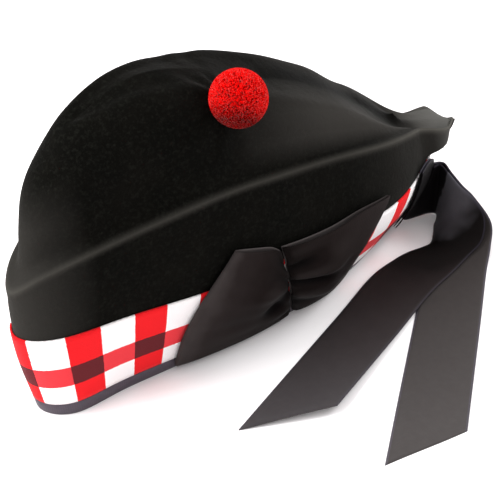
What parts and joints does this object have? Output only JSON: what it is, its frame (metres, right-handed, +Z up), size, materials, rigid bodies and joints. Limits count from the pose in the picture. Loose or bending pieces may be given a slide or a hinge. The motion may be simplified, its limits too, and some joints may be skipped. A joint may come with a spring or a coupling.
{
  "type": "glengarry",
  "caption": "Black felt glengarry cap with a red toorie, a red and white diced band, a ribbon bow on the left side and loose ribbon tails at the back.",
  "frame": {"origin": "bottom centre of the bounding box of the whole, on the surface that the cap stands on", "axes": "+X from the forehead to the back, +Z up; the bow and the tails are towards -Y, the wearer's left"},
  "size_m": [0.3222, 0.2022, 0.1591],
  "materials": {
    "felt": "matt wool felt",
    "dicing": "woven red, white and dark dicing",
    "binding": "dark braid",
    "wool": "red wool pile",
    "ribbon": "fine ribbed silk"
  },
  "bodies": {
    "root": {"bonnet": "felt", "diced_band": "dicing", "edge_binding": "binding", "toorie": "wool", "cockade_front": "ribbon", "cockade_rear": "ribbon", "tail_upper": "ribbon", "tail_lower": "ribbon"}
  },
  "joints": []
}
